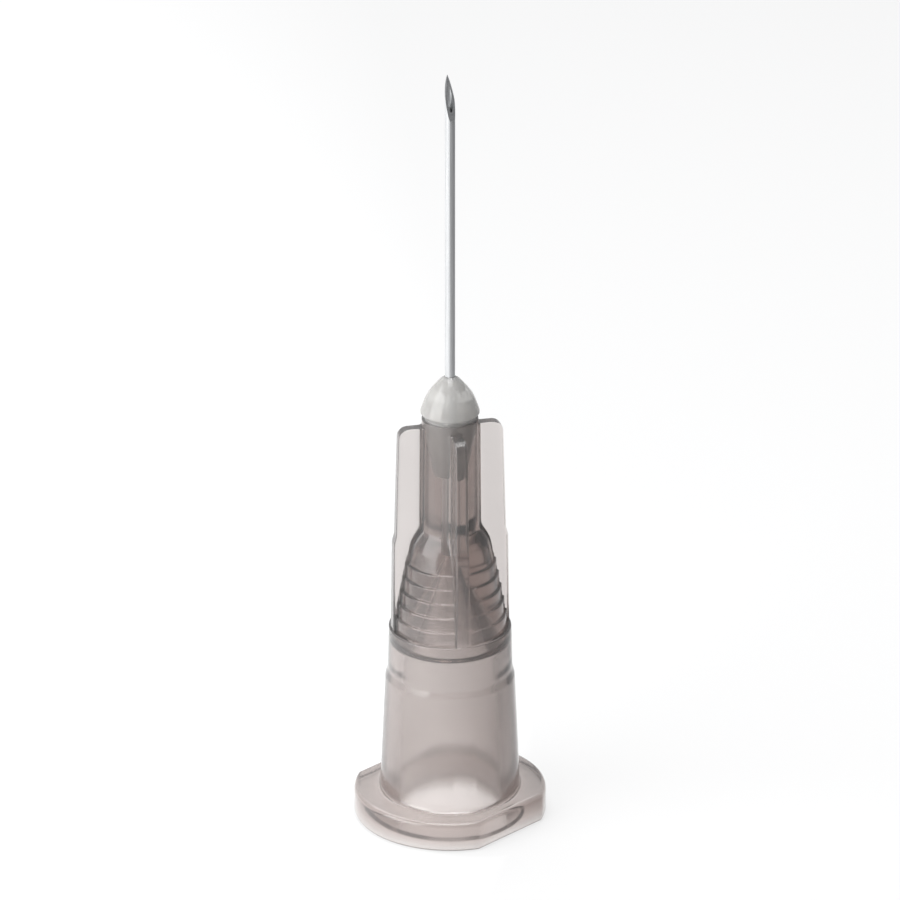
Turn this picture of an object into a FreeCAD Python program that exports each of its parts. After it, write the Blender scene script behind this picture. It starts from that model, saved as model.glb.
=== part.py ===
import FreeCAD, Part
import math
import os

# A single-use hypodermic needle, 27 gauge by half an inch, for a syringe whose tip has the
# standard 6% taper, plain or locking. It is three pieces: a moulded hub, a drawn steel tube with a
# triple-ground point, and the bead of adhesive that holds the tube in the hub.
#
# The origin is the centre of the hub's mouth face, on which the needle stands. +Z runs up the
# tube to the point, and the hub's fins lie along X and Y. Lengths are in millimetres and angles
# in degrees.

# The socket for a syringe's tip
MOUTH_DIAMETER = 4.29
SOCKET_TAPER = 0.06
SOCKET_DEPTH = 7.6
MOUTH_CHAMFER = 0.12
SOCKET_END_ROUND = 0.08
SOCKET_LEDGE = 0.47

# The lock flange round the mouth, a disc with two flats that leave two lugs
LUG_DIAMETER = 7.8
LUG_FLAT_DEPTH = 0.45
LUG_THICKNESS = 1.25
LUG_CORNER_ROUND = 0.28
LUG_EDGE_BEVEL = 0.14
LUG_FLATS_FACING = -57.0

# The barrel round the socket, with a thicker band at its foot
FOOT_WALL = 0.74
BAND_WALL = 0.66
BAND_HEIGHT = 4.95
BAND_STEP = 0.09
BAND_RUN = 0.3
HEAD_WALL = 0.58
FOOT_FLARE = 0.16
SOCKET_WEB = 0.8

# The shoulder, ringed with steps and then smooth, that closes the barrel in to the nose
STEP_COUNT = 5
STEP_PITCH = 0.58
STEP_RUN = 0.11
STEP_ROUND = 0.04
SHOULDER_LEDGE = 0.2
COLLAR_HEIGHT = 1.4
COLLAR_BEND_DROP = 0.5
COLLAR_BEND_INSET = 0.17
COLLAR_BEND_ROUND = 1.8

# The nose and its glue well
NOSE_HEIGHT = 4.8
NOSE_FOOT_DIAMETER = 2.36
NOSE_HEAD_DIAMETER = 2.28
NOSE_FOOT_FILLET = 0.25
NOSE_EDGE_ROUND = 0.06
WELL_DEPTH = 2.4
WELL_MOUTH_DIAMETER = 1.5
WELL_FOOT_DIAMETER = 0.8

# The fins, which carry the barrel's outline up past the nose
FIN_COUNT = 4
FIN_FOOT_THICKNESS = 0.58
FIN_HEAD_THICKNESS = 0.48
FIN_ROOT_FILLET = 0.22
FIN_EDGE_BEVEL = 0.06
FIN_INSET = 0.02
FIN_SHANK_HEIGHT = 3.8
FIN_SHANK_DRAFT = 0.05
FIN_WAIST_STEP = 0.09
FIN_WAIST_RISE = 0.35
FIN_HEAD_DRAFT = 0.13
FIN_CORNER_ROUND = 0.42
FIN_DROP = 0.3

# The steel tube, its seat in the hub, and the funnel that leads to it from the socket
TUBE_DIAMETER = 0.41
LUMEN_DIAMETER = 0.21
TUBE_EXPOSED = 12.8
TUBE_CLEARANCE = 0.005
TUBE_SEAT = 0.06
FUNNEL_HEIGHT = 3.9

# The point: one long bevel, and two side bevels that meet at the tip
BEVEL_ANGLE = 11.6
SIDE_BEVEL_ANGLE = 16.0
SIDE_BEVEL_TURN = 38.0
BEVEL_FACING = -71.0

# The adhesive's dome over the nose
DOME_HEIGHT = 1.8
DOME_LAP = 0.05
DOME_SKIRT = 0.3
DOME_FOOT_ROUND = 0.08
DOME_SKIRT_ROUND = 0.3
DOME_CROWN_DIAMETER = 0.78
DOME_CROWN_DROP = 0.14
DOME_CROWN_ROUND = 0.12
DOME_BEND_INSET = 0.27
DOME_BEND_ROUND = 1.6

# Radii and levels that follow from the sizes above
MOUTH_RADIUS = MOUTH_DIAMETER / 2
TUBE_RADIUS = TUBE_DIAMETER / 2
LUMEN_RADIUS = LUMEN_DIAMETER / 2
NOSE_FOOT_RADIUS = NOSE_FOOT_DIAMETER / 2
NOSE_HEAD_RADIUS = NOSE_HEAD_DIAMETER / 2
BAND_Z = LUG_THICKNESS + BAND_HEIGHT
SHOULDER_Z = SOCKET_DEPTH + SOCKET_WEB
COLLAR_Z = SHOULDER_Z + STEP_COUNT * STEP_PITCH
NOSE_Z = COLLAR_Z + COLLAR_HEIGHT
NOSE_TOP_Z = NOSE_Z + NOSE_HEIGHT
TUBE_REAR_Z = SOCKET_DEPTH + FUNNEL_HEIGHT
DOME_TOP_Z = NOSE_TOP_Z + DOME_HEIGHT
POINT_Z = DOME_TOP_Z + TUBE_EXPOSED

# How far a cutting tool runs past the face that it cuts
OVERRUN = 1.0

# A rounding smaller than this is drawn as a flat bevel of the same size
FINEST_ROUND = 0.1

ORIGIN = FreeCAD.Vector(0, 0, 0)
X_AXIS = FreeCAD.Vector(1, 0, 0)
Y_AXIS = FreeCAD.Vector(0, 1, 0)
Z_AXIS = FreeCAD.Vector(0, 0, 1)


def rounded_wire(corners):
    """A closed wire through (x, y, rounding) corners, with an arc or a small flat at each rounding."""
    points = [FreeCAD.Vector(x, y, 0) for x, y, _ in corners]
    count = len(points)
    bends = []
    for i, (_, _, rounding) in enumerate(corners):
        corner = points[i]
        back = points[i - 1] - corner
        ahead = points[(i + 1) % count] - corner
        half_angle = back.getAngle(ahead) / 2
        # A rounding uses up less than half of the shorter side beside it
        reach = min(rounding / math.tan(half_angle), 0.49 * min(back.Length, ahead.Length))
        if reach < 1e-4:
            bends.append((corner, corner, None))
            continue
        radius = reach * math.tan(half_angle)
        back.normalize()
        ahead.normalize()
        start = corner + back * reach
        end = corner + ahead * reach
        if radius < FINEST_ROUND:
            bends.append((start, end, Part.LineSegment(start, end).toShape()))
            continue
        inward = (back + ahead).normalize()
        middle = corner + inward * (radius / math.sin(half_angle) - radius)
        bends.append((start, end, Part.Arc(start, middle, end).toShape()))
    edges = []
    for i, (start, end, bend) in enumerate(bends):
        previous_end = bends[i - 1][1]
        edges.append(Part.LineSegment(previous_end, start).toShape())
        if bend:
            edges.append(bend)
    return Part.Wire(edges)


def upright_face(corners):
    """A face in the XZ plane from (x, z, rounding) corners."""
    face = Part.Face(rounded_wire(corners))
    face.rotate(ORIGIN, X_AXIS, 90)
    return face


def turned(corners):
    """The solid turned about Z by an outline of (radius, z, rounding) corners."""
    return upright_face(corners).revolve(ORIGIN, Z_AXIS, 360)


def socket_radius(z):
    """The socket's radius at height z above the mouth."""
    return MOUTH_RADIUS - z * SOCKET_TAPER / 2


def barrel_radius(z):
    """The barrel's outer radius at height z above its foot band."""
    foot = socket_radius(BAND_Z) + BAND_WALL - BAND_STEP
    head = socket_radius(SOCKET_DEPTH) + HEAD_WALL
    return foot + (head - foot) * (z - BAND_Z) / (SOCKET_DEPTH - BAND_Z)


def lock_flange():
    """The disc round the mouth, with its two flats, rounded corners and bevelled rims."""
    disc = Part.makeCylinder(LUG_DIAMETER / 2, LUG_THICKNESS)
    across_flats = LUG_DIAMETER - 2 * LUG_FLAT_DEPTH
    slab = Part.makeBox(
        across_flats,
        2 * LUG_DIAMETER,
        LUG_THICKNESS,
        FreeCAD.Vector(-across_flats / 2, -LUG_DIAMETER, 0),
    )
    flange = disc.common(slab)
    corners = [edge for edge in flange.Edges if edge.BoundBox.ZLength > LUG_THICKNESS / 2]
    flange = flange.makeFillet(LUG_CORNER_ROUND, corners)
    rims = [edge for edge in flange.Edges if edge.BoundBox.ZLength < LUG_THICKNESS / 2]
    flange = flange.makeChamfer(LUG_EDGE_BEVEL, rims)
    flange.rotate(ORIGIN, Z_AXIS, LUG_FLATS_FACING)
    return flange


def shoulder_steps():
    """The outline's corners up the ringed part of the shoulder, from its ledge to the collar."""
    foot_radius = barrel_radius(SHOULDER_Z) - SHOULDER_LEDGE
    corners = []
    for step in range(STEP_COUNT):
        radius = foot_radius - step * STEP_RUN
        foot_z = SHOULDER_Z + step * STEP_PITCH
        corners.append((radius, foot_z, STEP_ROUND))
        corners.append((radius, foot_z + STEP_PITCH, STEP_ROUND))
    corners.append((foot_radius - STEP_COUNT * STEP_RUN, COLLAR_Z, STEP_ROUND))
    return corners


def core():
    """The barrel, shoulder and nose as one turned solid, before anything is cut out of it."""
    foot_radius = socket_radius(LUG_THICKNESS) + FOOT_WALL
    band_radius = socket_radius(BAND_Z) + BAND_WALL
    steps = shoulder_steps()
    collar_radius = steps[-1][0]
    return turned(
        [
            (0, 0, 0),
            (foot_radius + FOOT_FLARE, 0, 0),
            (foot_radius + FOOT_FLARE, LUG_THICKNESS, 0),
            (foot_radius, LUG_THICKNESS + FOOT_FLARE, 0),
            (band_radius, BAND_Z, 0),
            (barrel_radius(BAND_Z + BAND_RUN), BAND_Z + BAND_RUN, 0),
            (barrel_radius(SHOULDER_Z), SHOULDER_Z, STEP_ROUND),
        ]
        + steps
        + [
            (collar_radius - COLLAR_BEND_INSET, NOSE_Z - COLLAR_BEND_DROP, COLLAR_BEND_ROUND),
            (NOSE_FOOT_RADIUS, NOSE_Z, NOSE_FOOT_FILLET),
            (NOSE_HEAD_RADIUS, NOSE_TOP_Z, NOSE_EDGE_ROUND),
            (0, NOSE_TOP_Z, 0),
        ]
    )


def fin_section(thickness, core_radius, reach, z):
    """A fin's section at height z: a bar along +X, flared where it meets the nose."""
    half = thickness / 2
    fillet = FIN_ROOT_FILLET
    # The flare's centre is one fillet off the bar's side and one fillet off the nose
    centre_y = half + fillet
    centre_x = math.sqrt((core_radius + fillet) ** 2 - centre_y**2)
    touch = core_radius / (core_radius + fillet)
    flare_angle = math.atan2(-centre_y * (1 - touch), -centre_x * (1 - touch))
    middle_angle = (flare_angle - math.pi / 2) / 2
    flare_start = FreeCAD.Vector(centre_x * touch, centre_y * touch, z)
    flare_middle = FreeCAD.Vector(
        centre_x + fillet * math.cos(middle_angle),
        centre_y + fillet * math.sin(middle_angle),
        z,
    )
    flare_end = FreeCAD.Vector(centre_x, half, z)
    upper = [FreeCAD.Vector(0, centre_y * touch, z), flare_start, flare_middle, flare_end]
    upper.append(FreeCAD.Vector(reach, half, z))
    lower = [FreeCAD.Vector(point.x, -point.y, z) for point in upper]
    return Part.Wire(
        [
            Part.LineSegment(upper[0], upper[1]).toShape(),
            Part.Arc(upper[1], upper[2], upper[3]).toShape(),
            Part.LineSegment(upper[3], upper[4]).toShape(),
            Part.LineSegment(upper[4], lower[4]).toShape(),
            Part.LineSegment(lower[4], lower[3]).toShape(),
            Part.Arc(lower[3], lower[2], lower[1]).toShape(),
            Part.LineSegment(lower[1], lower[0]).toShape(),
            Part.LineSegment(lower[0], upper[0]).toShape(),
        ]
    )


def fin():
    """The fin along +X: a drafted bar, cut to the fin's side outline, with softened edges."""
    foot_z = SHOULDER_Z - SOCKET_WEB / 2
    waist_z = SHOULDER_Z + FIN_SHANK_HEIGHT
    head_z = NOSE_TOP_Z - FIN_DROP
    foot_radius = barrel_radius(foot_z) - FIN_INSET
    waist_radius = foot_radius - FIN_SHANK_DRAFT
    neck_radius = waist_radius - FIN_WAIST_STEP
    head_radius = neck_radius - FIN_HEAD_DRAFT
    outline = upright_face(
        [
            (0, foot_z, 0),
            (foot_radius, foot_z, 0),
            (waist_radius, waist_z, FIN_WAIST_STEP),
            (neck_radius, waist_z + FIN_WAIST_RISE, FIN_WAIST_STEP),
            (head_radius, head_z, FIN_CORNER_ROUND),
            (0, head_z, 0),
        ]
    )
    plate = outline.extrude(Y_AXIS * 2 * NOSE_HEAD_DIAMETER)
    plate.translate(-Y_AXIS * NOSE_HEAD_DIAMETER)
    reach = foot_radius + OVERRUN
    bar = Part.makeLoft(
        [
            fin_section(FIN_FOOT_THICKNESS, NOSE_FOOT_RADIUS, reach, foot_z),
            fin_section(FIN_HEAD_THICKNESS, NOSE_HEAD_RADIUS, reach, NOSE_TOP_Z),
        ],
        True,
        True,
    )
    blade = bar.common(plate)
    softened = []
    for edge in blade.Edges:
        middle = edge.valueAt((edge.FirstParameter + edge.LastParameter) / 2)
        on_side = abs(abs(middle.y) - FIN_FOOT_THICKNESS / 2) < FIN_FOOT_THICKNESS / 4
        if on_side and middle.z > foot_z + STEP_ROUND and middle.x > head_radius - FIN_CORNER_ROUND:
            softened.append(edge)
    return blade.makeChamfer(FIN_EDGE_BEVEL, softened)


def socket_and_bore():
    """What is cut from the mouth up: the tapered socket, the funnel and the tube's bore."""
    bore_radius = TUBE_RADIUS + TUBE_CLEARANCE
    return turned(
        [
            (0, -OVERRUN, 0),
            (MOUTH_RADIUS + MOUTH_CHAMFER + OVERRUN, -OVERRUN, 0),
            (socket_radius(MOUTH_CHAMFER), MOUTH_CHAMFER, 0),
            (socket_radius(SOCKET_DEPTH), SOCKET_DEPTH, SOCKET_END_ROUND),
            (socket_radius(SOCKET_DEPTH) - SOCKET_LEDGE, SOCKET_DEPTH, 0),
            (TUBE_RADIUS - TUBE_SEAT, TUBE_REAR_Z, 0),
            (bore_radius, TUBE_REAR_Z, 0),
            (bore_radius, NOSE_TOP_Z, 0),
            (0, NOSE_TOP_Z, 0),
        ]
    )


def glue_well():
    """The tapered well in the nose, from its foot up to the nose's top face."""
    foot_z = NOSE_TOP_Z - WELL_DEPTH
    return turned(
        [
            (0, foot_z, 0),
            (WELL_FOOT_DIAMETER / 2, foot_z, 0),
            (WELL_MOUTH_DIAMETER / 2, NOSE_TOP_Z, 0),
            (0, NOSE_TOP_Z, 0),
        ]
    )


def hub():
    """The moulded hub."""
    body = core().fuse(lock_flange())
    for i in range(FIN_COUNT):
        blade = fin()
        blade.rotate(ORIGIN, Z_AXIS, i * 360 / FIN_COUNT)
        body = body.fuse(blade)
    return body.cut(socket_and_bore()).cut(glue_well()).removeSplitter()


def bevel_cutter(turn, angle):
    """What one grind takes off: all that lies above a plane through the tip, facing turn."""
    size = 4 * TUBE_DIAMETER / math.tan(math.radians(angle))
    block = Part.makeBox(2 * size, 2 * size, size, FreeCAD.Vector(-size, -size, 0))
    block.rotate(ORIGIN, Y_AXIS, 90 - angle)
    block.rotate(ORIGIN, Z_AXIS, turn)
    block.translate(FreeCAD.Vector(-TUBE_RADIUS, 0, POINT_Z))
    return block


def cannula():
    """The steel tube, ground to its point."""
    height = POINT_Z - TUBE_REAR_Z
    rear = FreeCAD.Vector(0, 0, TUBE_REAR_Z)
    lumen_start = rear - Z_AXIS * OVERRUN
    tube = Part.makeCylinder(TUBE_RADIUS, height, rear)
    tube = tube.cut(Part.makeCylinder(LUMEN_RADIUS, height + 2 * OVERRUN, lumen_start))
    tube = tube.cut(bevel_cutter(0, BEVEL_ANGLE))
    for side in (-1, 1):
        tube = tube.cut(bevel_cutter(side * SIDE_BEVEL_TURN, SIDE_BEVEL_ANGLE))
    tube.rotate(ORIGIN, Z_AXIS, BEVEL_FACING)
    return tube


def adhesive():
    """The bead that fills the glue well and stands over the nose as a dome round the tube."""
    foot_radius = NOSE_HEAD_RADIUS + DOME_LAP
    crown_radius = DOME_CROWN_DIAMETER / 2
    bend_radius = foot_radius - DOME_BEND_INSET
    bend_z = (NOSE_TOP_Z + DOME_SKIRT + DOME_TOP_Z) / 2
    dome = turned(
        [
            (0, NOSE_TOP_Z, 0),
            (foot_radius, NOSE_TOP_Z, DOME_FOOT_ROUND),
            (foot_radius, NOSE_TOP_Z + DOME_SKIRT, DOME_SKIRT_ROUND),
            (bend_radius, bend_z, DOME_BEND_ROUND),
            (crown_radius, DOME_TOP_Z - DOME_CROWN_DROP, DOME_CROWN_ROUND),
            (TUBE_RADIUS, DOME_TOP_Z, 0),
            (0, DOME_TOP_Z, 0),
        ]
    )
    bead = dome.fuse(glue_well())
    way_height = WELL_DEPTH + DOME_HEIGHT + 2 * OVERRUN
    way_start = FreeCAD.Vector(0, 0, NOSE_TOP_Z - WELL_DEPTH - OVERRUN)
    return bead.cut(Part.makeCylinder(TUBE_RADIUS, way_height, way_start))


def main():
    os.makedirs("parts", exist_ok=True)
    for name, shape in (("hub", hub()), ("cannula", cannula()), ("adhesive", adhesive())):
        shape.exportStep(f"parts/{name}.step")
        print(
            name,
            f"valid {shape.isValid()}",
            f"solids {len(shape.Solids)}",
            f"faces {len(shape.Faces)}",
            f"volume {shape.Volume:.3f} mm3",
            shape.BoundBox,
        )


main()
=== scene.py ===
import bpy
import bmesh
import math
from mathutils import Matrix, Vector


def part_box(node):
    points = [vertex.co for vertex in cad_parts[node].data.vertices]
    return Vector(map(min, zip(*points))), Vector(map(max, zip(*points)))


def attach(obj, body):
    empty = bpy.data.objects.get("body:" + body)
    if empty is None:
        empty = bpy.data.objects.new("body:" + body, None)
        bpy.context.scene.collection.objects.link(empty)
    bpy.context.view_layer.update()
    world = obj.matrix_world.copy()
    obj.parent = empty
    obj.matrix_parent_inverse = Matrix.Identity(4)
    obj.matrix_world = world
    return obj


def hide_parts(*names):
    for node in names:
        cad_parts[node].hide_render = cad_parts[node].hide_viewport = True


# A hypodermic needle standing on its hub: the fine meshes and finishes of its moulded hub, steel
# tube and adhesive bead, on a pale table. Lengths named here are in millimetres, and meshes are
# scaled to metres when they are made.

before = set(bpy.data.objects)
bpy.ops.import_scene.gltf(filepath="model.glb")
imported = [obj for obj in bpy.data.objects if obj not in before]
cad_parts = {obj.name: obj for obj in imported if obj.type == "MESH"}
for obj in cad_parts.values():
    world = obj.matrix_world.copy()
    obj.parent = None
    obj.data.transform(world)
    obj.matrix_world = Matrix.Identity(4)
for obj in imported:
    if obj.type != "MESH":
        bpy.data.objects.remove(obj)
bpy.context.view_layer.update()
MM = 0.001


def top_of(node):
    """The height of a node's highest point in millimetres."""
    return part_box(node)[1].z / MM


def foot_of(node):
    """The height of a node's lowest point in millimetres."""
    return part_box(node)[0].z / MM


# The socket and its mouth
MOUTH_RADIUS = 2.145
SOCKET_TAPER = 0.06
SOCKET_DEPTH = 7.6
MOUTH_CHAMFER = 0.12
SOCKET_END_ROUND = 0.12

# The lock flange
LUG_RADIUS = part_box("hub")[1].x / MM
LUG_FLAT_DEPTH = 0.45
LUG_THICKNESS = 1.25
LUG_EDGE_ROUND = 0.2
LUG_FLATS_FACING = math.radians(-57)

# The barrel and its foot band
FOOT_WALL = 0.74
FOOT_FILLET = 0.22
BAND_Z = 6.2
BAND_WALL = 0.66
BAND_STEP = 0.09
BAND_RUN = 0.3
HEAD_WALL = 0.58

# The ringed shoulder and the smooth collar above it
SHOULDER_Z = 8.4
SHOULDER_LEDGE = 0.2
STEP_COUNT = 5
STEP_PITCH = 0.58
STEP_RUN = 0.11
STEP_ROUND = 0.07
TREAD_SLOPE = 0.02
COLLAR_HEIGHT = 1.4
COLLAR_BEND_DROP = 0.5
COLLAR_BEND_INSET = 0.17
COLLAR_BEND_ROUND = 1.8
COLLAR_Z = SHOULDER_Z + STEP_COUNT * STEP_PITCH

# The nose and its glue well
NOSE_FOOT_Z = COLLAR_Z + COLLAR_HEIGHT
NOSE_TOP_Z = top_of("hub")
NOSE_FOOT_RADIUS = 1.18
NOSE_HEAD_RADIUS = 1.14
NOSE_FOOT_FILLET = 0.25
NOSE_EDGE_ROUND = 0.06
WELL_FOOT_Z = foot_of("adhesive")
WELL_MOUTH_RADIUS = 0.75
WELL_FOOT_RADIUS = 0.4

# The fins, whose outer faces stand a little inside the rounded edge that they rise from
FIN_COUNT = 4
FIN_FOOT_HALF = 0.29
FIN_HEAD_HALF = 0.24
FIN_EDGE_ROUND = 0.07
FIN_SHOULDER_FILLET = 0.06
FIN_NOSE_FILLET = 0.22
FIN_SETBACK = 0.005
FIN_SHANK_DRAFT = 0.05
FIN_WAIST_Z = 12.2
FIN_WAIST_STEP = 0.09
FIN_WAIST_RISE = 0.35
FIN_HEAD_DRAFT = 0.13
FIN_CORNER_ROUND = 0.42
FIN_DROP = 0.3
FIN_HEAD_Z = NOSE_TOP_Z - FIN_DROP
FIN_PITCH = 2 * math.pi / FIN_COUNT

# The steel tube, the funnel that leads to it, and the three grinds of its point
TUBE_RADIUS = 0.205
LUMEN_RADIUS = 0.105
TUBE_REAR_Z = foot_of("cannula")
POINT_Z = top_of("cannula")
FUNNEL_MOUTH_RADIUS = 1.45
FUNNEL_HEAD_RADIUS = 0.145
BEVEL_ANGLE = math.radians(11.6)
SIDE_BEVEL_ANGLE = math.radians(16)
SIDE_BEVEL_TURN = math.radians(38)
BEVEL_FACING = math.radians(-71)
# The tube is made this much too long, and then ground back to its point
TUBE_SPARE = 1.0
GROUND_STEEL_SLOT = 1

# The adhesive's dome
DOME_TOP_Z = top_of("adhesive")
DOME_LAP = 0.05
DOME_SKIRT = 0.3
DOME_FOOT_ROUND = 0.08
DOME_SKIRT_ROUND = 0.3
DOME_CROWN_RADIUS = 0.39
DOME_CROWN_DROP = 0.14
DOME_CROWN_ROUND = 0.12
DOME_BEND_INSET = 0.27
DOME_BEND_ROUND = 1.6
# Bonded faces run this far into their neighbour, so that no film of air shows between them
BOND = 0.012

# How finely round forms are drawn, with the edges' quarter turns in degrees
ARC_STEP = math.radians(15)
LUG_EDGE_DEGREES = range(0, 91, 15)
FIN_TOP_DEGREES = range(0, 91, 18)
FIN_FACE_STEPS = 3
FIN_EDGE_STEPS = 4
FIN_SIDE_STEPS = 5
FIN_ROOT_STEPS = 5
GAP_STEPS = 16
TURNED_STEPS = 96
TURNED_ANGLES = [2 * math.pi * i / TURNED_STEPS for i in range(TURNED_STEPS)]
# A rounding takes at most this share of each run beside it
RUN_SHARE = 0.49
# Levels closer than this count as one
LEVEL_GAP = 1e-4
WELD_DISTANCE = 1e-5
CUT_SLACK = 1e-6
SHARP_ANGLE = math.radians(32)

# The camera stands at the photograph's viewing angle and looks at the middle of the needle's
# height, MIDDLE, which is in metres
CAMERA_AZIMUTH = -13.0
CAMERA_ELEVATION = 24.0
CAMERA_DISTANCE = 330.0
CAMERA_LENS = 330.0
MIDDLE = Vector((0, 0, POINT_Z / 2)) * MM

# The usual range of a noise's values, and how much each finer layer of it counts
NOISE_LOW = 0.3
NOISE_HIGH = 0.7
NOISE_ROUGHNESS = 0.55

# The table top is a wide square that glows by itself, which leaves no hard shadow. The camera sees
# it at one even level, as in a product picture on white. What the needle mirrors and bends of the
# glow is bright to the left of the picture and dims to the right. It goes by the direction and the
# distance of each place from a point GLOW_DEPTH under the needle's foot.
TABLE_HALF = 450.0
TABLE_SEEN = 0.70
TABLE_BRIGHT = 0.91
TABLE_DIM = 0.07
TABLE_BRIGHT_SIDE = Vector((-0.95, 0.12, 0.6))
TABLE_BRIGHT_FACING = 0.53
TABLE_DIM_FACING = -0.85
GLOW_DEPTH = 8.0

# The glow is raised in the mouth, a painted pool of light, and lowered all over the flange's
# footprint, a painted contact shadow. Each change is whole up to its near distance and gone at its
# far one.
MOUTH_GLOW = 1.65
MOUTH_GLOW_NEAR = 8.1
MOUTH_GLOW_FAR = 8.85
FLANGE_SHADE = 0.82
FLANGE_SHADE_NEAR = 8.9
FLANGE_SHADE_FAR = 9.3

# The world is brightest to the left of the picture, behind the needle and above, in these shares
WORLD_BRIGHT = 0.6
WORLD_DIM = 0.2
WORLD_LEFT = 0.8
WORLD_BEHIND = 0.45
WORLD_ABOVE = 0.4


def mesh_object(name, bm, materials):
    """An object in metres from a bmesh in millimetres, smooth-shaded with weighted normals."""
    bmesh.ops.remove_doubles(bm, verts=bm.verts, dist=WELD_DISTANCE)
    bmesh.ops.recalc_face_normals(bm, faces=bm.faces)
    bmesh.ops.scale(bm, vec=(MM, MM, MM), verts=bm.verts)
    mesh = bpy.data.meshes.new(name)
    bm.to_mesh(mesh)
    bm.free()
    for polygon in mesh.polygons:
        polygon.use_smooth = True
    mesh.set_sharp_from_angle(angle=SHARP_ANGLE)
    for material in materials:
        mesh.materials.append(material)
    made = bpy.data.objects.new(name, mesh)
    bpy.context.scene.collection.objects.link(made)
    weighted = made.modifiers.new("weighted normals", "WEIGHTED_NORMAL")
    weighted.keep_sharp = True
    return made


def loop_of_rings(rings):
    """A closed skin over rings of equally many points, with the last ring joined to the first."""
    bm = bmesh.new()
    rows = [[bm.verts.new(point) for point in ring] for ring in rings]
    for i, row in enumerate(rows):
        below = rows[i - 1]
        for j in range(len(row)):
            bm.faces.new((below[j - 1], below[j], row[j], row[j - 1]))
    return bm


def turned(x, y, angle):
    """A flat point turned about the origin."""
    cosine, sine = math.cos(angle), math.sin(angle)
    return x * cosine - y * sine, x * sine + y * cosine


def corner_arc(corner, back, ahead, rounding):
    """The arc that rounds a corner, from the run back of it to the run ahead."""
    half_angle = back.angle(ahead) / 2
    reach = min(rounding / math.tan(half_angle), RUN_SHARE * min(back.length, ahead.length))
    arc_radius = reach * math.tan(half_angle)
    back = back.normalized()
    ahead = ahead.normalized()
    inward = (back + ahead).normalized()
    centre = corner + inward * (arc_radius / math.sin(half_angle))
    sweep = math.pi - 2 * half_angle
    steps = max(2, math.ceil(sweep / ARC_STEP))
    start = corner + back * reach - centre
    turn = sweep if start.x * ahead.y - start.y * ahead.x > 0 else -sweep
    return [centre + Vector(turned(start.x, start.y, turn * i / steps)) for i in range(steps + 1)]


def rounded(corners):
    """Points along an open outline of (radius, z, rounding) corners, with its arcs drawn out."""
    points = []
    for i, (radius, z, rounding) in enumerate(corners):
        corner = Vector((radius, z))
        if rounding == 0:
            points.append(corner)
        else:
            back = Vector(corners[i - 1][:2]) - corner
            ahead = Vector(corners[i + 1][:2]) - corner
            points += corner_arc(corner, back, ahead, rounding)
    return points


def with_levels(points, levels):
    """The outline with a point added at each level that falls between two of its points."""
    merged = [points[0]]
    for point in points[1:]:
        last = merged[-1]
        for level in sorted(levels):
            if last.y + LEVEL_GAP < level < point.y - LEVEL_GAP:
                share = (level - last.y) / (point.y - last.y)
                merged.append(last.lerp(point, share))
        merged.append(point)
    return merged


def interpolated(points, z):
    """The radius at height z of an outline that only rises."""
    for low, high in zip(points, points[1:]):
        if low.y <= z <= high.y and high.y > low.y:
            return low.x + (high.x - low.x) * (z - low.y) / (high.y - low.y)
    return points[0].x if z < points[0].y else points[-1].x


def circle(angles, radius, z):
    """A round ring with a point at each angle."""
    return [(radius * math.cos(a), radius * math.sin(a), z) for a in angles]


def circles(angles, outline):
    """A round ring for each point of an outline."""
    return [circle(angles, point.x, point.y) for point in outline]


def socket_radius(z):
    """The socket's radius at height z, by its taper on diameter."""
    return MOUTH_RADIUS - z * SOCKET_TAPER / 2


def barrel_radius(z):
    """The barrel's outer radius above its foot band."""
    foot = socket_radius(BAND_Z) + BAND_WALL - BAND_STEP
    head = socket_radius(SOCKET_DEPTH) + HEAD_WALL
    return foot + (head - foot) * (z - BAND_Z) / (SOCKET_DEPTH - BAND_Z)


def fin_outline():
    """The fins' outer edge, from the shoulder to the end of its rounded top corner."""
    reach = barrel_radius(SHOULDER_Z) - STEP_ROUND - FIN_SETBACK
    shank = reach - FIN_SHANK_DRAFT
    head = shank - FIN_WAIST_STEP
    corners = [
        (reach, SHOULDER_Z, 0),
        (shank, FIN_WAIST_Z, FIN_WAIST_STEP),
        (head, FIN_WAIST_Z + FIN_WAIST_RISE, FIN_WAIST_STEP),
        (head - FIN_HEAD_DRAFT, FIN_HEAD_Z, FIN_CORNER_ROUND),
        (0, FIN_HEAD_Z, 0),
    ]
    return rounded(corners)[:-1]


LEDGE_RADIUS = barrel_radius(SHOULDER_Z) - SHOULDER_LEDGE
FIN_OUTLINE = fin_outline()


def fin_face(reach, half):
    """From the middle of a fin's outer face round its edge."""
    edge = FIN_EDGE_ROUND
    flat = half - edge
    points = [(reach, flat * i / FIN_FACE_STEPS) for i in range(FIN_FACE_STEPS)]
    for i in range(FIN_EDGE_STEPS + 1):
        angle = math.pi / 2 * i / FIN_EDGE_STEPS
        points.append((reach - edge + edge * math.cos(angle), flat + edge * math.sin(angle)))
    return points


def fin_side(edge_x, root_x, half):
    """Along a fin's side, between its edge and its root."""
    shares = [i / FIN_SIDE_STEPS for i in range(1, FIN_SIDE_STEPS)]
    return [(edge_x * (1 - share) + root_x * share, half) for share in shares]


def fin_root(root_x, half, fillet, touch):
    """Round a fin's fillet, which touches the core at the angle given."""
    points = []
    for i in range(FIN_ROOT_STEPS + 1):
        angle = -math.pi / 2 + (touch - math.pi / 2) * i / FIN_ROOT_STEPS
        points.append((root_x + fillet * math.cos(angle), half + fillet + fillet * math.sin(angle)))
    return points


def gap_arc(core, touch):
    """Along the core from a fin's fillet to the middle of the gap beside it."""
    angles = [touch + (FIN_PITCH / 2 - touch) * i / GAP_STEPS for i in range(1, GAP_STEPS + 1)]
    return [(core * math.cos(a), core * math.sin(a)) for a in angles]


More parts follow.
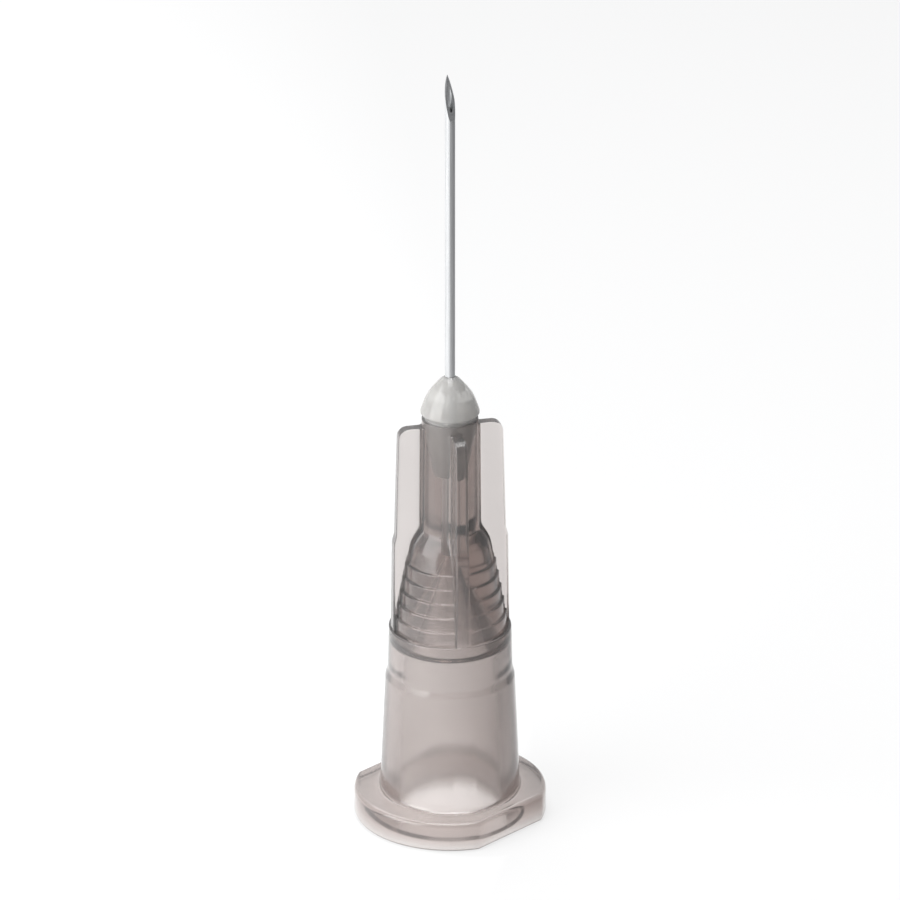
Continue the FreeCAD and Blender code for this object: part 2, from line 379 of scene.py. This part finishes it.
def fin_section(core, z):
    """The (x, y) points of the hub's section at height z, between the shoulder and the fins' tops."""
    above_edge = max(0.0, z - (FIN_HEAD_Z - FIN_EDGE_ROUND))
    inset = FIN_EDGE_ROUND - math.sqrt(max(0.0, FIN_EDGE_ROUND**2 - above_edge**2))
    rise = (z - SHOULDER_Z) / (NOSE_TOP_Z - SHOULDER_Z)
    half = FIN_FOOT_HALF + (FIN_HEAD_HALF - FIN_FOOT_HALF) * rise - inset
    reach = interpolated(FIN_OUTLINE, z) - inset
    blend = min(1.0, max(0.0, (z - COLLAR_Z) / COLLAR_HEIGHT))
    fillet = FIN_SHOULDER_FILLET + (FIN_NOSE_FILLET - FIN_SHOULDER_FILLET) * blend
    root_x = math.sqrt((core + fillet) ** 2 - (half + fillet) ** 2)
    touch = math.atan2(half + fillet, root_x)
    points = fin_face(reach, half)
    points += fin_side(reach - FIN_EDGE_ROUND, root_x, half)
    points += fin_root(root_x, half, fillet, touch)
    points += gap_arc(core, touch)
    mirrored = [(x, -y) for x, y in reversed(points[1:-1])]
    section = []
    for fin in range(FIN_COUNT):
        section += [turned(x, y, FIN_PITCH * fin) for x, y in mirrored + points]
    return section


def angles_of(section):
    """The angle at which each point of a section stands."""
    return [math.atan2(y, x) for x, y in section]


# Rings without fins take the angles of the finned section next to them, so all rings join
LOW_ANGLES = angles_of(fin_section(LEDGE_RADIUS, SHOULDER_Z))
HIGH_ANGLES = angles_of(fin_section(NOSE_HEAD_RADIUS, FIN_HEAD_Z))


def flange_angles(half_flat):
    """The low angles, with those nearest the flats' four corners moved onto them."""
    angles = list(LOW_ANGLES)
    for facing in (LUG_FLATS_FACING, LUG_FLATS_FACING + math.pi):
        for corner in (facing - half_flat, facing + half_flat):
            corner = math.atan2(math.sin(corner), math.cos(corner))
            nearest = min(range(len(angles)), key=lambda i: abs(angles[i] - corner))
            angles[nearest] = corner
    return angles


def flange_ring(inset, z):
    """A ring round the lock flange, inset from its rim, with its two flats."""
    radius = LUG_RADIUS - inset
    flat = LUG_RADIUS - LUG_FLAT_DEPTH - inset
    half_flat = math.acos(flat / radius)
    ring = []
    for angle in flange_angles(half_flat):
        off = math.acos(abs(math.cos(angle - LUG_FLATS_FACING)))
        reach = flat / math.cos(off) if off < half_flat else radius
        ring.append((reach * math.cos(angle), reach * math.sin(angle), z))
    return ring


def flange_rings():
    """The lock flange's rings, round its lower edge and then round its upper edge."""
    edge = LUG_EDGE_ROUND
    rings = []
    for middle, start in ((edge, -90), (LUG_THICKNESS - edge, 0)):
        for degrees in LUG_EDGE_DEGREES:
            angle = math.radians(start + degrees)
            inset = edge * (1 - math.cos(angle))
            rings.append(flange_ring(inset, middle + edge * math.sin(angle)))
    return rings


def barrel_outline():
    """The barrel, from the flange's top to the start of the ledge at its own top."""
    foot_radius = socket_radius(LUG_THICKNESS) + FOOT_WALL
    corners = [
        (foot_radius + 2 * FOOT_FILLET, LUG_THICKNESS, 0),
        (foot_radius, LUG_THICKNESS, FOOT_FILLET),
        (socket_radius(BAND_Z) + BAND_WALL, BAND_Z, BAND_RUN),
        (barrel_radius(BAND_Z + BAND_RUN), BAND_Z + BAND_RUN, BAND_RUN),
        (barrel_radius(SHOULDER_Z), SHOULDER_Z, STEP_ROUND),
        (LEDGE_RADIUS, SHOULDER_Z, 0),
    ]
    return rounded(corners)[:-1]


def core_outline():
    """The stepped shoulder, the collar and the nose up to the glue well's mouth, without the fins."""
    step_radius = LEDGE_RADIUS
    corners = [(step_radius, SHOULDER_Z, 0)]
    for step in range(STEP_COUNT):
        tread_z = SHOULDER_Z + (step + 1) * STEP_PITCH
        corners.append((step_radius, tread_z - TREAD_SLOPE / 2, STEP_ROUND))
        step_radius -= STEP_RUN
        corners.append((step_radius, tread_z + TREAD_SLOPE / 2, STEP_ROUND / 2))
    corners += [
        (step_radius - COLLAR_BEND_INSET, NOSE_FOOT_Z - COLLAR_BEND_DROP, COLLAR_BEND_ROUND),
        (NOSE_FOOT_RADIUS, NOSE_FOOT_Z, NOSE_FOOT_FILLET),
        (NOSE_HEAD_RADIUS, NOSE_TOP_Z, NOSE_EDGE_ROUND),
        (WELL_MOUTH_RADIUS, NOSE_TOP_Z, 0),
    ]
    return rounded(corners)


def finned_rings(core):
    """Rings round the core's outline and its fins, with one at each turn of the fins' own outline."""
    levels = [point.y for point in FIN_OUTLINE]
    for degrees in FIN_TOP_DEGREES:
        rise = math.sin(math.radians(degrees))
        levels.append(FIN_HEAD_Z - FIN_EDGE_ROUND * (1 - rise))
    rings = []
    for point in with_levels(core, [z for z in levels if z > COLLAR_Z]):
        section = fin_section(point.x, point.y)
        rings.append([(x, y, point.y) for x, y in section])
    return rings


def inside_outline():
    """The hub's inside, from the tube's seat down the funnel and the socket to the mouth."""
    corners = [
        (TUBE_RADIUS - BOND, TUBE_REAR_Z, 0),
        (FUNNEL_HEAD_RADIUS, TUBE_REAR_Z, 0),
        (FUNNEL_MOUTH_RADIUS, SOCKET_DEPTH, SOCKET_END_ROUND),
        (socket_radius(SOCKET_DEPTH), SOCKET_DEPTH, SOCKET_END_ROUND),
        (socket_radius(MOUTH_CHAMFER), MOUTH_CHAMFER, 0),
    ]
    return rounded(corners)


def hub_mesh():
    """The hub, up its outside from the mouth, and down its inside from the glue well."""
    outline = core_outline()
    fins_top = Vector((interpolated(outline, FIN_HEAD_Z), FIN_HEAD_Z))
    rings = [circle(LOW_ANGLES, MOUTH_RADIUS + MOUTH_CHAMFER, 0)]
    rings += flange_rings()
    rings += circles(LOW_ANGLES, barrel_outline())
    rings += finned_rings([p for p in outline if p.y < FIN_HEAD_Z] + [fins_top])
    rings.append(circle(HIGH_ANGLES, fins_top.x, FIN_HEAD_Z))
    rings += circles(HIGH_ANGLES, [p for p in outline if p.y > FIN_HEAD_Z + LEVEL_GAP])
    rings.append(circle(HIGH_ANGLES, WELL_FOOT_RADIUS, WELL_FOOT_Z))
    rings.append(circle(HIGH_ANGLES, TUBE_RADIUS - BOND, WELL_FOOT_Z))
    rings += circles(LOW_ANGLES, inside_outline())
    return loop_of_rings(rings)


def grind(bm, turn, angle):
    """Cuts the tube by the plane that one grind leaves, and closes the cut with a ground face."""
    level = math.cos(angle)
    normal = Vector((math.cos(turn) * level, math.sin(turn) * level, math.sin(angle)))
    cut = bmesh.ops.bisect_plane(
        bm,
        geom=bm.verts[:] + bm.edges[:] + bm.faces[:],
        dist=CUT_SLACK,
        plane_co=Vector((-TUBE_RADIUS, 0, POINT_Z)),
        plane_no=normal,
        clear_outer=True,
    )
    edges = [item for item in cut["geom_cut"] if isinstance(item, bmesh.types.BMEdge)]
    rim = [edge for edge in edges if edge.is_valid and edge.is_boundary]
    filled = bmesh.ops.triangle_fill(bm, edges=rim, use_beauty=True, normal=normal)
    for item in filled["geom"]:
        if isinstance(item, bmesh.types.BMFace):
            item.material_index = GROUND_STEEL_SLOT


def cannula_mesh():
    """The tube, open right through, with one long grind and two side grinds at its point."""
    rings = [
        circle(TURNED_ANGLES, LUMEN_RADIUS, TUBE_REAR_Z),
        circle(TURNED_ANGLES, TUBE_RADIUS, TUBE_REAR_Z),
        circle(TURNED_ANGLES, TUBE_RADIUS, POINT_Z + TUBE_SPARE),
        circle(TURNED_ANGLES, LUMEN_RADIUS, POINT_Z + TUBE_SPARE),
    ]
    bm = loop_of_rings(rings)
    grind(bm, 0, BEVEL_ANGLE)
    for side in (-1, 1):
        grind(bm, side * SIDE_BEVEL_TURN, SIDE_BEVEL_ANGLE)
    facing = Vector((math.cos(BEVEL_FACING), math.sin(BEVEL_FACING), 0))
    turn = facing.to_track_quat("X", "Z").to_matrix()
    bmesh.ops.rotate(bm, cent=(0, 0, 0), matrix=turn, verts=bm.verts)
    return bm


def adhesive_mesh():
    """The bead in its well, and its dome round the tube."""
    foot_radius = NOSE_HEAD_RADIUS + DOME_LAP
    skirt_z = NOSE_TOP_Z + DOME_SKIRT
    corners = [
        (TUBE_RADIUS - BOND, WELL_FOOT_Z - BOND, 0),
        (WELL_FOOT_RADIUS + BOND, WELL_FOOT_Z - BOND, 0),
        (WELL_MOUTH_RADIUS + BOND, NOSE_TOP_Z - BOND, 0),
        (foot_radius, NOSE_TOP_Z - BOND, DOME_FOOT_ROUND),
        (foot_radius, skirt_z, DOME_SKIRT_ROUND),
        (foot_radius - DOME_BEND_INSET, (skirt_z + DOME_TOP_Z) / 2, DOME_BEND_ROUND),
        (DOME_CROWN_RADIUS, DOME_TOP_Z - DOME_CROWN_DROP, DOME_CROWN_ROUND),
        (TUBE_RADIUS - BOND, DOME_TOP_Z, 0),
    ]
    return loop_of_rings(circles(TURNED_ANGLES, rounded(corners)))


def ranged(tree, source, low, high, from_low, from_high):
    """A source between from_low and from_high, carried over to low and high and held there."""
    node = tree.nodes.new("ShaderNodeMapRange")
    node.inputs["From Min"].default_value = from_low
    node.inputs["From Max"].default_value = from_high
    node.inputs["To Min"].default_value = low
    node.inputs["To Max"].default_value = high
    tree.links.new(source, node.inputs["Value"])
    return node.outputs["Result"]


def towards(tree, vector, bright_side, dim, bright, from_low, from_high):
    """A level that goes from dim to bright as a vector turns towards the bright side."""
    unit = tree.nodes.new("ShaderNodeVectorMath")
    unit.operation = "NORMALIZE"
    tree.links.new(vector, unit.inputs[0])
    facing = tree.nodes.new("ShaderNodeVectorMath")
    facing.operation = "DOT_PRODUCT"
    facing.inputs[1].default_value = bright_side.normalized()
    tree.links.new(unit.outputs["Vector"], facing.inputs[0])
    return ranged(tree, facing.outputs["Value"], dim, bright, from_low, from_high)


class Shader:
    """A short way to build one material's nodes, which read places on the object in millimetres."""

    def __init__(self, name):
        self.material = bpy.data.materials.new(name)
        self.material.use_nodes = True
        self.tree = self.material.node_tree
        self.surface = self.tree.nodes["Principled BSDF"]
        self.output = self.tree.nodes["Material Output"]
        coordinates = self.tree.nodes.new("ShaderNodeTexCoord")
        self.millimetres = self.tree.nodes.new("ShaderNodeMapping")
        self.millimetres.inputs["Scale"].default_value = (1 / MM, 1 / MM, 1 / MM)
        self.link(coordinates.outputs["Object"], self.millimetres.inputs["Vector"])

    def link(self, source, target):
        """Feeds a socket from another node's output."""
        self.tree.links.new(source, target)

    def set(self, **values):
        """Sets the surface's own sockets, named with underscores for spaces."""
        for name, value in values.items():
            self.surface.inputs[name.replace("_", " ")].default_value = value

    def noise(self, scale, factors=(1, 1, 1), detail=3.0):
        """Noise of about scale features to the millimetre, times the factors for X, Y and Z."""
        mapping = self.tree.nodes.new("ShaderNodeMapping")
        mapping.inputs["Scale"].default_value = factors
        self.link(self.millimetres.outputs["Vector"], mapping.inputs["Vector"])
        node = self.tree.nodes.new("ShaderNodeTexNoise")
        node.inputs["Scale"].default_value = scale
        node.inputs["Detail"].default_value = detail
        node.inputs["Roughness"].default_value = NOISE_ROUGHNESS
        self.link(mapping.outputs["Vector"], node.inputs["Vector"])
        return node.outputs["Fac"]

    def spread(self, noise, low=0, high=1):
        """A noise's usual range carried over to low and high."""
        return ranged(self.tree, noise, low, high, NOISE_LOW, NOISE_HIGH)

    def combined(self, operation, first, second):
        """Two levels joined by a maths node."""
        node = self.tree.nodes.new("ShaderNodeMath")
        node.operation = operation
        self.link(first, node.inputs[0])
        self.link(second, node.inputs[1])
        return node.outputs["Value"]

    def tints(self, noise, first, second):
        """Lets the colour wander between two tints."""
        factor = self.spread(noise)
        node = self.tree.nodes.new("ShaderNodeMix")
        node.data_type = "RGBA"
        node.inputs["A"].default_value = (*first, 1)
        node.inputs["B"].default_value = (*second, 1)
        self.link(factor, node.inputs["Factor"])
        self.link(node.outputs["Result"], self.surface.inputs["Base Color"])

    def roughness(self, noise, low, high):
        """Lets the roughness wander between two levels."""
        self.link(self.spread(noise, low, high), self.surface.inputs["Roughness"])

    def bump(self, source, height, strength, below=None):
        """A bump of so many millimetres over the source's range, on top of the one below."""
        node = self.tree.nodes.new("ShaderNodeBump")
        node.inputs["Distance"].default_value = height * MM
        node.inputs["Strength"].default_value = strength
        self.link(source, node.inputs["Height"])
        if below:
            self.link(below, node.inputs["Normal"])
        self.link(node.outputs["Normal"], self.surface.inputs["Normal"])
        return node.outputs["Normal"]

    def absorb(self, color, density):
        """Darkens the inside towards a colour, by a density per metre."""
        node = self.tree.nodes.new("ShaderNodeVolumeAbsorption")
        node.inputs["Color"].default_value = (*color, 1)
        node.inputs["Density"].default_value = density
        self.link(node.outputs["Volume"], self.output.inputs["Volume"])


def hub_plastic():
    """Translucent grey polypropylene with a faint mauve cast, hazy, with slight flow waves."""
    shader = Shader("hub_plastic")
    shader.set(IOR=1.49, Transmission_Weight=0.92, Coat_Weight=0.4, Coat_Roughness=0.2)
    shader.tints(shader.noise(0.35), (0.90, 0.885, 0.88), (0.95, 0.94, 0.935))
    shader.roughness(shader.noise(2.2, factors=(1, 1, 0.4)), 0.13, 0.19)
    flow = shader.noise(0.8, factors=(1, 1, 0.35), detail=1.0)
    waves = shader.bump(flow, height=0.03, strength=0.5)
    grain = shader.noise(9, detail=2.0)
    shader.bump(grain, height=0.0004, strength=0.3, below=waves)
    shader.absorb((0.60, 0.52, 0.49), density=1080)
    return shader.material


def drawn_steel():
    """Stainless tube with the fine lengthwise grain of the drawing die."""
    shader = Shader("drawn_steel")
    shader.set(Metallic=1.0, Anisotropic=0.4, IOR=2.5)
    grain = shader.noise(26, factors=(1, 1, 0.02), detail=4.0)
    shader.tints(grain, (0.60, 0.61, 0.62), (0.74, 0.75, 0.76))
    shader.roughness(grain, 0.32, 0.46)
    shader.bump(grain, height=0.0015, strength=0.5)
    return shader.material


def ground_steel():
    """The point's ground faces, brighter, with fine marks across them."""
    shader = Shader("ground_steel")
    shader.set(Metallic=1.0, IOR=2.5)
    marks = shader.noise(30, factors=(0.1, 0.1, 1), detail=4.0)
    shader.tints(marks, (0.70, 0.71, 0.72), (0.85, 0.86, 0.87))
    shader.roughness(marks, 0.12, 0.24)
    shader.bump(marks, height=0.001, strength=0.5)
    return shader.material


def cured_adhesive():
    """Milky cured adhesive, glossy outside."""
    shader = Shader("cured_adhesive")
    shader.set(IOR=1.5, Transmission_Weight=0.45, Subsurface_Weight=0.6)
    shader.set(Subsurface_Radius=(1.0, 1.0, 0.95), Subsurface_Scale=0.6 * MM)
    shader.tints(shader.noise(1.1), (0.57, 0.56, 0.54), (0.67, 0.66, 0.645))
    shader.roughness(shader.noise(3.0), 0.06, 0.16)
    shader.bump(shader.noise(1.3, detail=1.0), height=0.04, strength=0.4)
    shader.absorb((0.80, 0.79, 0.77), density=220)
    return shader.material


def dress_object():
    """The three pieces, each in its node's place."""
    hub = mesh_object("moulded_hub", hub_mesh(), [hub_plastic()])
    tube = mesh_object("steel_tube", cannula_mesh(), [drawn_steel(), ground_steel()])
    bead = mesh_object("adhesive_bead", adhesive_mesh(), [cured_adhesive()])
    for piece, node in ((hub, "hub"), (tube, "cannula"), (bead, "adhesive")):
        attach(piece, "root")
        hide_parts(node)


def table_material():
    """A pale surface that glows evenly for the camera, and by the place on it for the needle, with
    painted light in the mouth and a painted contact shadow under the flange.
    """
    shader = Shader("studio_table")
    shader.set(Base_Color=(0.20, 0.20, 0.20, 1), Roughness=0.9, Emission_Color=(1, 1, 1, 1))
    shader.millimetres.inputs["Location"].default_value = (0, 0, GLOW_DEPTH)
    place_on_table = shader.millimetres.outputs["Vector"]
    glow = towards(
        shader.tree,
        place_on_table,
        TABLE_BRIGHT_SIDE,
        TABLE_DIM,
        TABLE_BRIGHT,
        TABLE_DIM_FACING,
        TABLE_BRIGHT_FACING,
    )
    length = shader.tree.nodes.new("ShaderNodeVectorMath")
    length.operation = "LENGTH"
    shader.link(place_on_table, length.inputs[0])
    distance = length.outputs["Value"]
    # A painted pool of light in the mouth and a painted contact shadow under the flange, set in the
    # table's glow
    painted_mouth_light = ranged(shader.tree, distance, MOUTH_GLOW, 1, MOUTH_GLOW_NEAR, MOUTH_GLOW_FAR)
    painted_flange_shadow = ranged(
        shader.tree, distance, FLANGE_SHADE, 1, FLANGE_SHADE_NEAR, FLANGE_SHADE_FAR
    )
    painted_foot_light_and_shadow = shader.combined("MULTIPLY", painted_mouth_light, painted_flange_shadow)
    glow = shader.combined("MULTIPLY", glow, painted_foot_light_and_shadow)
    rays = shader.tree.nodes.new("ShaderNodeLightPath")
    seen = ranged(shader.tree, rays.outputs["Is Camera Ray"], 0, TABLE_SEEN, 0, 1)
    level = shader.combined("MAXIMUM", glow, seen)
    shader.link(level, shader.surface.inputs["Emission Strength"])
    return shader.material


def studio_table():
    """The square that the needle stands on, turned to the camera."""
    bm = bmesh.new()
    corners = ((-1, -1), (1, -1), (1, 1), (-1, 1))
    bm.faces.new([bm.verts.new((x * TABLE_HALF, y * TABLE_HALF, 0)) for x, y in corners])
    table = mesh_object("studio_table", bm, [table_material()])
    table.rotation_euler.z = math.radians(CAMERA_AZIMUTH)


def aim(obj, target):
    """Turns a light or camera to look at a point."""
    obj.rotation_mode = "QUATERNION"
    obj.rotation_quaternion = (target - obj.location).to_track_quat("-Z", "Y")


def place(azimuth, elevation, distance):
    """A point round the needle's middle, in metres. Azimuth 0 is in front, on the -Y side."""
    turn, rise = math.radians(azimuth), math.radians(elevation)
    level = math.cos(rise)
    back = Vector((math.sin(turn) * level, -math.cos(turn) * level, math.sin(rise)))
    return MIDDLE + back * distance * MM


def softbox(name, turn, elevation, distance, width, height, watts):
    """A flat light that looks at the needle's middle, turned so many degrees from the camera."""
    light = bpy.data.lights.new(name, "AREA")
    light.shape = "RECTANGLE"
    light.size = width * MM
    light.size_y = height * MM
    light.energy = watts
    made = bpy.data.objects.new(name, light)
    made.location = place(CAMERA_AZIMUTH + turn, elevation, distance)
    aim(made, MIDDLE)
    bpy.context.scene.collection.objects.link(made)


def studio_lights():
    """A key light on the left, a back light and a top light."""
    softbox("key_light", turn=-60, elevation=22, distance=120, width=110, height=110, watts=0.14)
    softbox("back_light", turn=-172, elevation=55, distance=130, width=130, height=80, watts=0.07)
    softbox("top_light", turn=0, elevation=80, distance=120, width=80, height=80, watts=0.10)


def studio_world():
    """A pale world, brighter on one side."""
    world = bpy.data.worlds.new("studio_world")
    world.use_nodes = True
    tree = world.node_tree
    directions = tree.nodes.new("ShaderNodeTexCoord").outputs["Generated"]
    turn = math.radians(CAMERA_AZIMUTH)
    right = Vector((math.cos(turn), math.sin(turn), 0))
    behind = Vector((-math.sin(turn), math.cos(turn), 0))
    bright_side = behind * WORLD_BEHIND - right * WORLD_LEFT + Vector((0, 0, WORLD_ABOVE))
    level = towards(tree, directions, bright_side, WORLD_DIM, WORLD_BRIGHT, -1, 1)
    background = tree.nodes["Background"]
    background.inputs["Color"].default_value = (0.97, 0.98, 1.0, 1)
    tree.links.new(level, background.inputs["Strength"])
    bpy.context.scene.world = world


def camera():
    """A long lens, far enough off for the needle to keep its proportions."""
    data = bpy.data.cameras.new("camera")
    data.lens = CAMERA_LENS
    data.sensor_width = 36.0
    data.clip_start = 0.01
    data.clip_end = 10
    made = bpy.data.objects.new("camera", data)
    made.location = place(CAMERA_AZIMUTH, CAMERA_ELEVATION, CAMERA_DISTANCE)
    aim(made, MIDDLE)
    bpy.context.scene.collection.objects.link(made)
    bpy.context.scene.camera = made


dress_object()
studio_table()
studio_lights()
studio_world()
camera()
bpy.context.scene.view_settings.view_transform = "Standard"
